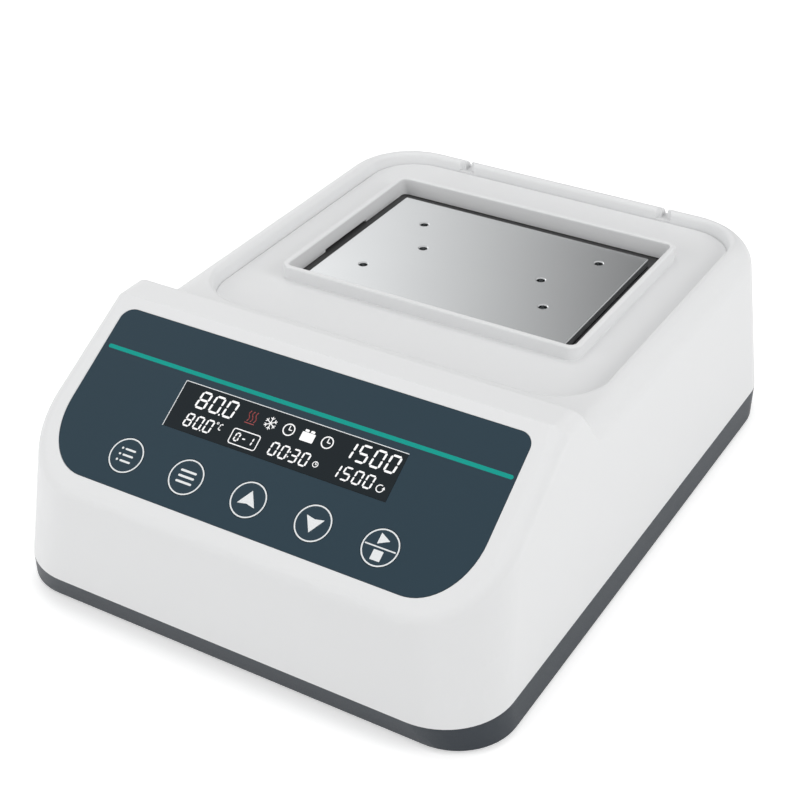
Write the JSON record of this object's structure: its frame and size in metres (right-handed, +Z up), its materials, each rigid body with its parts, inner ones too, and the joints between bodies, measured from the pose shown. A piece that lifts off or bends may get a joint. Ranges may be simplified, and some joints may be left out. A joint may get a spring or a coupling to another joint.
{
  "type": "dry bath shaker",
  "caption": "Benchtop heated shaker: wedge-shaped case with a sloping key panel and display, and a collared flat heating plate that orbits on cranks.",
  "frame": {"origin": "centre of the footprint, on the bench under the feet", "axes": "+Z up; -Y towards the operator, where the keys are; +X to the operator's right"},
  "size_m": [0.2294, 0.3116, 0.1079],
  "materials": {
    "white_shell": "fine moulded satin, light grey white",
    "dark_base": "fine moulded dark grey",
    "foot_rubber": "matt black rubber",
    "overlay_film": "printed film with a fine satin grain",
    "window_acrylic": "smoked acrylic with lit characters",
    "key_cap": "printed key cap with a pale ring",
    "switch_plastic": "black moulded plastic",
    "board": "green circuit board",
    "board_parts": "moulded component bodies",
    "plated_steel": "zinc plated screws",
    "heated_metal": "fine blasted and clear anodised",
    "cast_metal": "machined casting",
    "shaft_steel": "ground steel",
    "bearing_steel": "polished bearing steel",
    "motor_steel": "plated motor case",
    "copper": "enamelled copper windings",
    "carrier_plastic": "matt black heat-proof plastic",
    "insulation": "silicone foam",
    "heater_film": "silicone heater mat",
    "rear_plate": "dark grey moulded panel",
    "contact_brass": "plated contact blades",
    "fuse_glass": "clear glass tube",
    "rocker_red": "red rocker"
  },
  "bodies": {
    "base": {"upper_housing": "white_shell", "base_tray": "dark_base", "rubber_feet": "foot_rubber", "control_overlay": "overlay_film", "display_window": "window_acrylic", "key_switches": "switch_plastic", "display_module": "switch_plastic", "power_inlet": "switch_plastic", "fan_frame": "switch_plastic", "switch_frame": "switch_plastic", "control_board": "board", "power_board": "board", "control_board_parts": "board_parts", "power_board_parts": "board_parts", "case_screws": "plated_steel", "control_board_screws": "plated_steel", "chassis_screws": "plated_steel", "pillar_screws": "plated_steel", "motor_screws": "plated_steel", "power_board_screws": "plated_steel", "rear_panel_screws": "plated_steel", "fan_screws": "plated_steel", "chassis_pillars": "plated_steel", "chassis_plate": "cast_metal", "main_bearing": "bearing_steel", "lower_guide_bearings": "bearing_steel", "motor_can": "motor_steel", "motor_windings": "copper", "rear_panel": "rear_plate", "inlet_blades": "contact_brass"},
    "crank": {"crank_shaft": "shaft_steel", "counterweight": "shaft_steel", "counterweight_screws": "plated_steel", "motor_rotor": "motor_steel"},
    "platform": {"heating_plate": "heated_metal", "heater_pad": "heater_film", "insulation_pad": "insulation", "plate_carrier": "carrier_plastic", "shaker_platform": "cast_metal", "temperature_probe": "shaft_steel", "plate_screws": "plated_steel", "pin_bearing": "bearing_steel", "upper_guide_bearings": "bearing_steel"},
    "guide_crank_1": {"guide_crank_1": "shaft_steel"},
    "guide_crank_2": {"guide_crank_2": "shaft_steel"},
    "guide_crank_3": {"guide_crank_3": "shaft_steel"},
    "guide_crank_4": {"guide_crank_4": "shaft_steel"},
    "key_program": {"key_program": "key_cap"},
    "key_menu": {"key_menu": "key_cap"},
    "key_up": {"key_up": "key_cap"},
    "key_down": {"key_down": "key_cap"},
    "key_start_stop": {"key_start_stop": "key_cap"},
    "fan_rotor": {"fan_rotor": "switch_plastic"},
    "switch_rocker": {"switch_rocker": "rocker_red"},
    "fuse_drawer": {"fuse_drawer": "switch_plastic", "fuse_tube": "fuse_glass", "fuse_caps": "contact_brass"}
  },
  "joints": [
    {"name": "crank_spin", "type": "hinge", "parent": "base", "child": "crank", "pos_m": [0, 0.0555, 0.04], "axis": [0, 0, 1], "continuous": true},
    {"name": "platform_orbit", "type": "hinge", "parent": "crank", "child": "platform", "pos_m": [0, 0.054, 0.065], "axis": [0, 0, 1], "continuous": true},
    {"name": "guide_1_spin", "type": "hinge", "parent": "base", "child": "guide_crank_1", "pos_m": [-0.044, 0.0315, 0.045], "axis": [0, 0, 1], "continuous": true},
    {"name": "guide_2_spin", "type": "hinge", "parent": "base", "child": "guide_crank_2", "pos_m": [0.044, 0.0315, 0.045], "axis": [0, 0, 1], "continuous": true},
    {"name": "guide_3_spin", "type": "hinge", "parent": "base", "child": "guide_crank_3", "pos_m": [-0.044, 0.0795, 0.045], "axis": [0, 0, 1], "continuous": true},
    {"name": "guide_4_spin", "type": "hinge", "parent": "base", "child": "guide_crank_4", "pos_m": [0.044, 0.0795, 0.045], "axis": [0, 0, 1], "continuous": true},
    {"name": "key_program_press", "type": "slide", "parent": "base", "child": "key_program", "axis": [0, 0.5344, -0.8453], "range_m": [0, 0.0004], "stiffness_N_per_m": 1000, "springref_m": -0.0005},
    {"name": "key_menu_press", "type": "slide", "parent": "base", "child": "key_menu", "axis": [0, 0.5344, -0.8453], "range_m": [0, 0.0004], "stiffness_N_per_m": 1000, "springref_m": -0.0005},
    {"name": "key_up_press", "type": "slide", "parent": "base", "child": "key_up", "axis": [0, 0.5344, -0.8453], "range_m": [0, 0.0004], "stiffness_N_per_m": 1000, "springref_m": -0.0005},
    {"name": "key_down_press", "type": "slide", "parent": "base", "child": "key_down", "axis": [0, 0.5344, -0.8453], "range_m": [0, 0.0004], "stiffness_N_per_m": 1000, "springref_m": -0.0005},
    {"name": "key_start_stop_press", "type": "slide", "parent": "base", "child": "key_start_stop", "axis": [0, 0.5344, -0.8453], "range_m": [0, 0.0004], "stiffness_N_per_m": 1000, "springref_m": -0.0005},
    {"name": "fan_spin", "type": "hinge", "parent": "base", "child": "fan_rotor", "pos_m": [0.04, 0.138, 0.048], "axis": [0, 1, 0], "continuous": true},
    {"name": "switch_rock", "type": "hinge", "parent": "base", "child": "switch_rocker", "pos_m": [-0.008, 0.1443, 0.049], "axis": [1, 0, 0], "range_deg": [0, 18]},
    {"name": "fuse_drawer_pull", "type": "slide", "parent": "base", "child": "fuse_drawer", "axis": [0, 1, 0], "range_m": [0, 0.011]}
  ],
  "couplings": [
    {"joint": "platform_orbit", "follows": "crank_spin", "ratio": -1},
    {"joint": "guide_1_spin", "follows": "crank_spin", "ratio": 1},
    {"joint": "guide_2_spin", "follows": "crank_spin", "ratio": 1},
    {"joint": "guide_3_spin", "follows": "crank_spin", "ratio": 1},
    {"joint": "guide_4_spin", "follows": "crank_spin", "ratio": 1}
  ]
}
